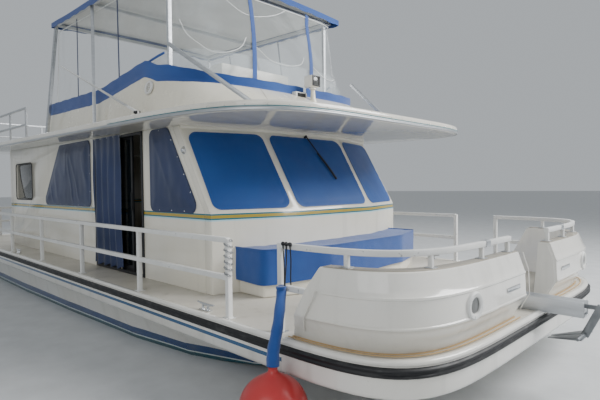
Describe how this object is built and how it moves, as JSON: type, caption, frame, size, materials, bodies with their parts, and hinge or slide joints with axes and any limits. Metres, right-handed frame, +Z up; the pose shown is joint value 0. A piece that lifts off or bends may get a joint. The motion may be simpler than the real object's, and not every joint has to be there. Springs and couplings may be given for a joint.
{
  "type": "houseboat",
  "caption": "Fibreglass family houseboat afloat, with cabin, flying bridge under a canvas top, railed side decks, bow bulwark, anchor beam and inboard screws.",
  "frame": {"origin": "amidships on the centreline at the waterline", "axes": "+X to the bow, +Y to port, +Z up"},
  "size_m": [13.3322, 4.7307, 5.5135],
  "materials": {
    "hull_gelcoat": "polished gelcoat with blue bands and bottom paint",
    "gelcoat": "polished gelcoat",
    "cream_gelcoat": "chalky cream gelcoat",
    "non_skid": "non-skid gelcoat",
    "black_rubber": "satin black rubber",
    "engine_paint": "painted",
    "bronze": "dull bronze",
    "white_bar": "white powder coat",
    "aluminium": "brushed and weathered",
    "galvanised": "galvanised",
    "blue_canvas": "taut blue canvas",
    "navy_canvas": "weathered navy canvas",
    "dark_glass": "tinted",
    "clear_sheet": "clear vinyl",
    "black_plastic": "satin black",
    "red_vinyl": "inflated red vinyl"
  },
  "bodies": {
    "boat": {"hull": "hull_gelcoat", "rub_rail": "black_rubber", "deck": "non_skid", "engine_starboard": "engine_paint", "engine_port": "engine_paint", "bow_bulwark_starboard": "gelcoat", "bow_bulwark_port": "gelcoat", "bow_rail_starboard": "white_bar", "bow_rail_port": "white_bar", "side_rail_starboard": "white_bar", "side_rail_port": "white_bar", "cabin_front": "gelcoat", "cabin_side_starboard": "gelcoat", "cabin_side_port": "gelcoat", "cabin_aft_bulkhead": "gelcoat", "window_cover_centre": "blue_canvas", "window_cover_front_starboard": "blue_canvas", "window_cover_front_port": "blue_canvas", "window_cover_fore_starboard": "navy_canvas", "window_cover_fore_port": "navy_canvas", "window_cover_aft_starboard": "navy_canvas", "window_cover_aft_port": "navy_canvas", "cabin_pane_starboard": "dark_glass", "cabin_pane_port": "dark_glass", "door_cover": "navy_canvas", "roof": "gelcoat", "bridge_coaming": "cream_gelcoat", "coaming_skirt_starboard": "blue_canvas", "coaming_skirt_port": "blue_canvas", "screen_brace_starboard": "aluminium", "screen_brace_port": "aluminium", "bimini_frame": "aluminium", "bimini_top": "blue_canvas", "bridge_curtain": "clear_sheet", "bridge_screen": "clear_sheet", "helm_console": "cream_gelcoat", "bridge_seat": "navy_canvas", "roof_rail_starboard": "aluminium", "roof_rail_port": "aluminium", "ladder": "aluminium", "bench": "gelcoat", "bench_cover": "blue_canvas", "anchor_beam": "aluminium", "anchor": "galvanised", "swim_platform": "non_skid", "fender": "red_vinyl", "fender_line": "navy_canvas"},
    "engine_hatch": {"engine_hatch": "non_skid"},
    "screw_starboard": {"screw_starboard": "bronze"},
    "screw_port": {"screw_port": "bronze"},
    "rudder_starboard": {"rudder_starboard": "bronze"},
    "rudder_port": {"rudder_port": "bronze"},
    "door_leaf_starboard": {"door_leaf_starboard": "black_plastic"},
    "door_leaf_port": {"door_leaf_port": "black_plastic"},
    "aft_door": {"aft_door": "gelcoat"},
    "aerial": {"aerial": "white_bar"},
    "searchlight": {"searchlight": "gelcoat"},
    "helm_wheel": {"helm_wheel": "black_plastic"},
    "wiper": {"wiper": "black_plastic"}
  },
  "joints": [
    {"name": "engine_hatch_lift", "type": "hinge", "parent": "boat", "child": "engine_hatch", "pos_m": [-5.497, 0, 0.73], "axis": [0, -1, 0], "range_deg": [0, 85]},
    {"name": "screw_spin_starboard", "type": "hinge", "parent": "boat", "child": "screw_starboard", "pos_m": [-5.3, -0.8, -0.56], "axis": [0.9935, 0, 0.1142], "continuous": true},
    {"name": "screw_spin_port", "type": "hinge", "parent": "boat", "child": "screw_port", "pos_m": [-5.3, 0.8, -0.56], "axis": [0.9935, 0, 0.1142], "continuous": true},
    {"name": "rudder_turn_starboard", "type": "hinge", "parent": "boat", "child": "rudder_starboard", "pos_m": [-5.8, -0.8, -0.4], "axis": [0, 0, 1], "range_deg": [-35, 35]},
    {"name": "rudder_turn_port", "type": "hinge", "parent": "boat", "child": "rudder_port", "pos_m": [-5.8, 0.8, -0.4], "axis": [0, 0, 1], "range_deg": [-35, 35]},
    {"name": "side_door_slide_starboard", "type": "slide", "parent": "boat", "child": "door_leaf_starboard", "axis": [1, 0, 0], "range_m": [-0.31, 0.41]},
    {"name": "side_door_slide_port", "type": "slide", "parent": "boat", "child": "door_leaf_port", "axis": [1, 0, 0], "range_m": [-0.31, 0.41]},
    {"name": "aft_door_swing", "type": "hinge", "parent": "boat", "child": "aft_door", "pos_m": [-3.782, 0.37, 1.6], "axis": [0, 0, 1], "range_deg": [-100, 0]},
    {"name": "aerial_fold", "type": "hinge", "parent": "boat", "child": "aerial", "pos_m": [2.33, -1.88, 2.70704], "axis": [0, 1, 0], "range_deg": [0, 68]},
    {"name": "searchlight_pan", "type": "hinge", "parent": "boat", "child": "searchlight", "pos_m": [3.33, 0, 3.06904], "axis": [0, 0, 1], "range_deg": [-170, 170]},
    {"name": "helm_wheel_turn", "type": "hinge", "parent": "boat", "child": "helm_wheel", "pos_m": [2.16, -0.35, 3.25976], "axis": [1, 0, 0], "range_deg": [-455, 455]},
    {"name": "wiper_sweep", "type": "hinge", "parent": "boat", "child": "wiper", "pos_m": [3.16883, 0, 2.46895], "axis": [0.8551, 0, 0.5185], "range_deg": [-70, 15]}
  ],
  "couplings": [
    {"joint": "rudder_turn_port", "follows": "rudder_turn_starboard", "ratio": 1},
    {"joint": "helm_wheel_turn", "follows": "rudder_turn_starboard", "ratio": 12.857}
  ]
}
